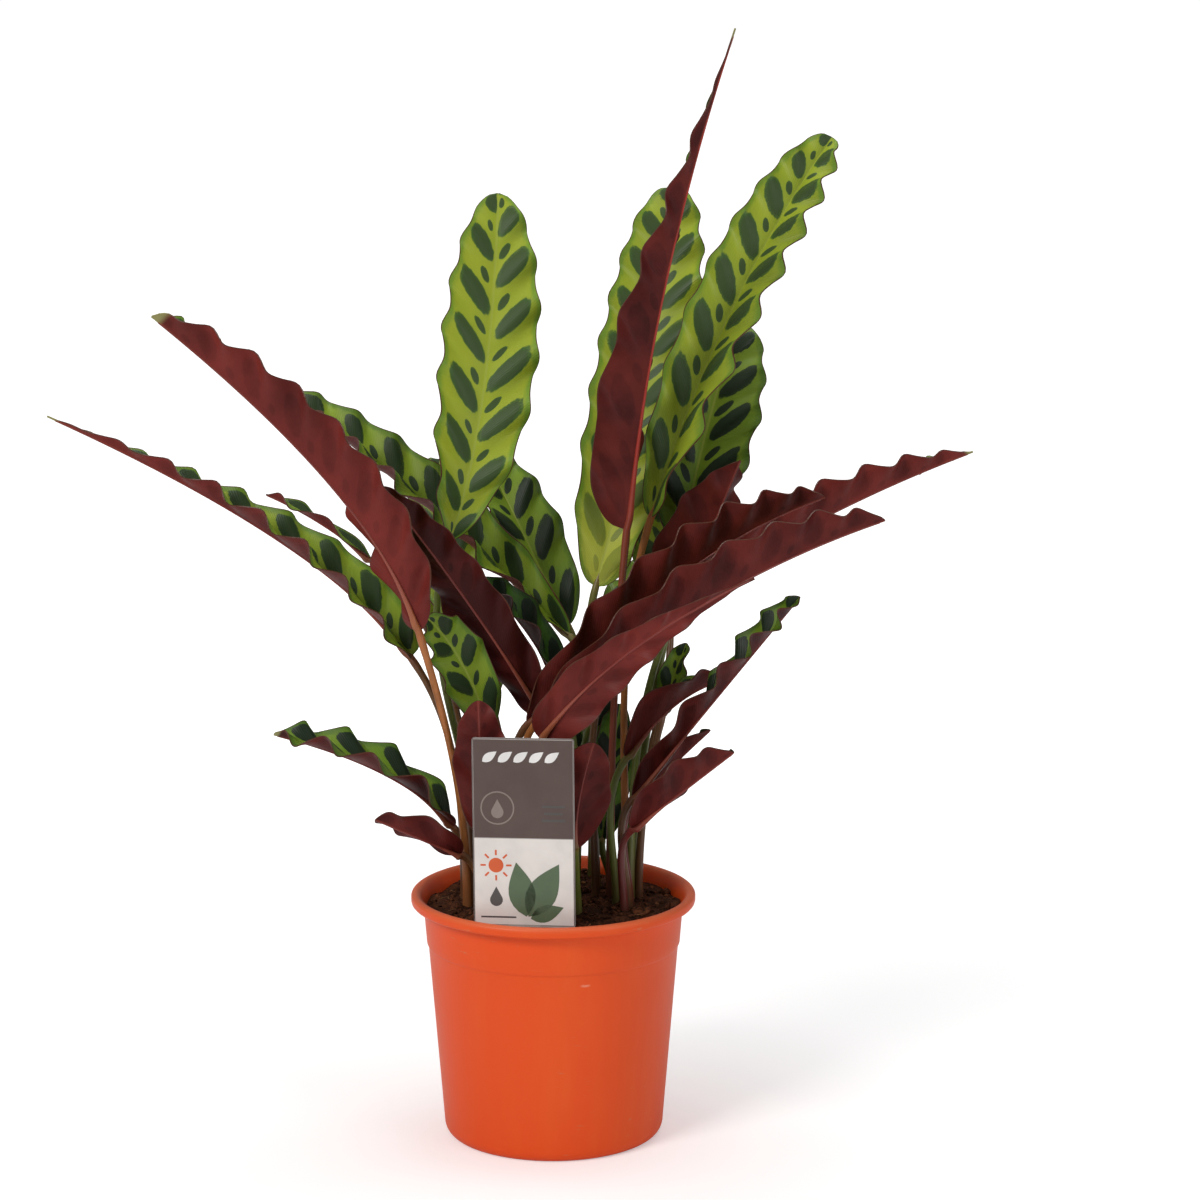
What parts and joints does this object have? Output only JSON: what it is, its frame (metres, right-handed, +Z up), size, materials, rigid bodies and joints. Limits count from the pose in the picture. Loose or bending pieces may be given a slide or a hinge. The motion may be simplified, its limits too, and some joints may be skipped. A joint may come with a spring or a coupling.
{
  "type": "potted rattlesnake plant",
  "caption": "Potted rattlesnake plant: long wavy patterned leaves with dark undersides on slim stalks, in a round nursery pot with soil and a plain care label.",
  "frame": {"origin": "middle of the pot's flat bottom", "axes": "+Z up, -Y towards the front, +X to the right"},
  "size_m": [0.4404, 0.249, 0.5413],
  "materials": {
    "pot_plastic": "satin moulded plastic with light scuffs",
    "potting_soil": "rough, crumbly and matt",
    "label_card": "smooth printed card",
    "leaf": "waxy upper side with dark blotches, satin dark red underside"
  },
  "bodies": {
    "root": {"pot": "pot_plastic", "soil": "potting_soil", "care_label": "label_card", "leaf_far_left": "leaf", "leaf_high_left": "leaf", "leaf_back_left": "leaf", "leaf_shaded_left": "leaf", "leaf_upright_left": "leaf", "leaf_back_middle": "leaf", "leaf_upright_middle": "leaf", "leaf_tallest": "leaf", "leaf_upright_right": "leaf", "leaf_back_right": "leaf", "leaf_inner_right": "leaf", "leaf_far_right": "leaf", "leaf_right_upper": "leaf", "leaf_right_middle": "leaf", "leaf_right_front": "leaf", "leaf_low_right_long": "leaf", "leaf_low_right_inner": "leaf", "leaf_low_right_front": "leaf", "leaf_low_right_narrow": "leaf", "leaf_low_left_long": "leaf", "leaf_low_left_short": "leaf", "leaf_front_left": "leaf", "leaf_front_right": "leaf", "leaf_centre": "leaf", "leaf_left_thin": "leaf", "leaf_inner_low_right": "leaf", "leaf_inner_low_middle": "leaf", "leaf_left_inner": "leaf", "leaf_low_right_green": "leaf", "leaf_rear_left_high": "leaf", "leaf_rear_right_high": "leaf", "leaf_rear_right": "leaf", "leaf_rear_left": "leaf"}
  },
  "joints": []
}
